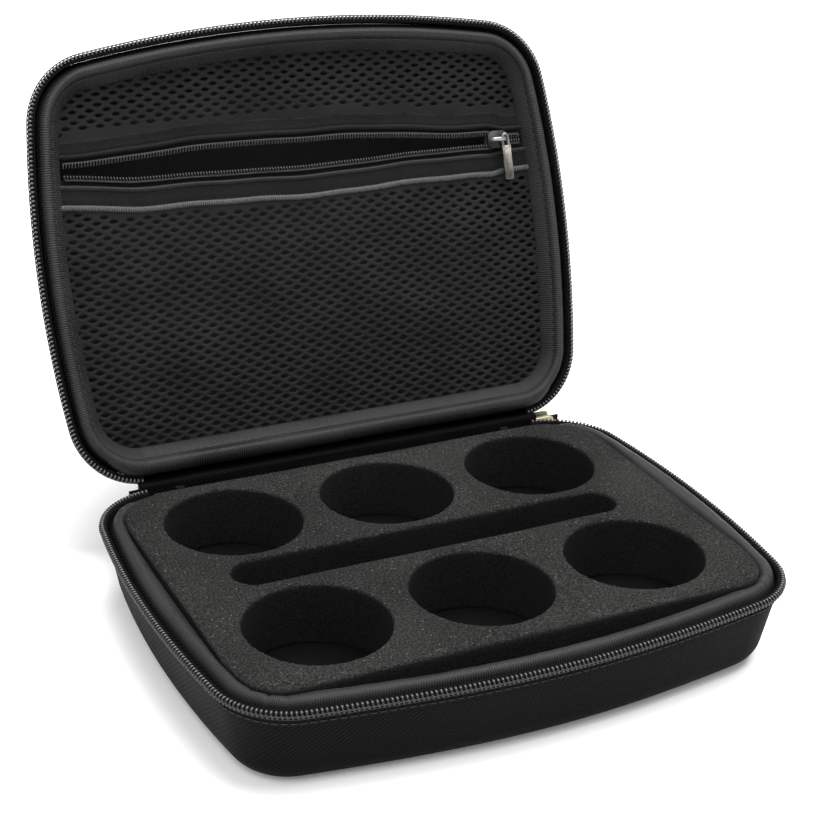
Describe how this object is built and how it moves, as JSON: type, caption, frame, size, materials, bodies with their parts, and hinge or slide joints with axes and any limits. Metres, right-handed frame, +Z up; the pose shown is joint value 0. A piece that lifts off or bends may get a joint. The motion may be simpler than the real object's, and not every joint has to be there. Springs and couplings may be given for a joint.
{
  "type": "miniature carry case",
  "caption": "Semi-rigid zip-around carry case, open: foam tray with round wells and a long slot, and a standing lid with a zipped mesh pocket.",
  "frame": {"origin": "underside of the base, under the middle of the rim", "axes": "+X to the right along the hinge, +Y from the front edge to the hinge, +Z up"},
  "size_m": [0.2, 0.2271, 0.1724],
  "materials": {
    "shell_fabric": "matte",
    "lining_fabric": "matte",
    "edge_binding": "satin",
    "zipper_tape": "matte",
    "zipper_coil": "satin",
    "hinge_fabric": "matte",
    "foam": "matte",
    "pocket_mesh": "matte",
    "slider_metal": "satin",
    "pull_metal": "satin"
  },
  "bodies": {
    "base": {"base_shell": "shell_fabric", "base_lining": "lining_fabric", "base_binding": "edge_binding", "base_zipper_tape": "zipper_tape", "base_zipper_coil": "zipper_coil", "hinge_strip_base": "hinge_fabric", "foam_pad": "foam", "foam_insert": "foam", "zipper_tail_right": "zipper_tape", "zipper_tail_left": "zipper_tape", "tail_coil_right": "zipper_coil", "tail_coil_left": "zipper_coil"},
    "lid": {"lid_shell": "shell_fabric", "lid_lining": "lining_fabric", "lid_binding": "edge_binding", "lid_zipper_tape": "zipper_tape", "lid_zipper_coil": "zipper_coil", "hinge_strip_lid": "hinge_fabric", "pocket_mesh_lower": "pocket_mesh", "pocket_mesh_upper": "pocket_mesh", "pocket_binding_lower": "edge_binding", "pocket_binding_upper": "edge_binding", "pocket_tape_lower": "zipper_tape", "pocket_tape_upper": "zipper_tape", "pocket_coil_lower": "zipper_coil", "pocket_coil_upper": "zipper_coil"},
    "slider_right": {"slider_right": "slider_metal"},
    "slider_left": {"slider_left": "slider_metal"},
    "pull_right": {"pull_right": "pull_metal"},
    "pull_left": {"pull_left": "pull_metal"},
    "pocket_slider": {"pocket_slider": "slider_metal"},
    "pocket_pull": {"pocket_pull": "pull_metal"}
  },
  "joints": [
    {"name": "lid_hinge", "type": "hinge", "parent": "base", "child": "lid", "pos_m": [0, 0.0758, 0.0305], "axis": [-1, 0, 0], "range_deg": [-110, 0]},
    {"name": "slider_right_run", "type": "slide", "parent": "base", "child": "slider_right", "axis": [-1, 0, 0], "range_m": [0, 0.008]},
    {"name": "slider_left_run", "type": "slide", "parent": "base", "child": "slider_left", "axis": [-1, 0, 0], "range_m": [0, 0.004]},
    {"name": "pull_right_swing", "type": "hinge", "parent": "slider_right", "child": "pull_right", "pos_m": [0.07535, 0.08235, 0.0243], "axis": [0, 1, 0], "range_deg": [-45, 45]},
    {"name": "pull_left_swing", "type": "hinge", "parent": "slider_left", "child": "pull_left", "pos_m": [-0.06585, 0.08235, 0.0243], "axis": [0, 1, 0], "range_deg": [-45, 45]},
    {"name": "pocket_slider_run", "type": "slide", "parent": "lid", "child": "pocket_slider", "axis": [-0.9995, 0.0104, 0.0287], "range_m": [0, 0.152]},
    {"name": "pocket_pull_swing", "type": "hinge", "parent": "pocket_slider", "child": "pocket_pull", "pos_m": [0.07876, 0.11367, 0.12547], "axis": [0, 0.9397, -0.342], "range_deg": [-22, 40]}
  ]
}
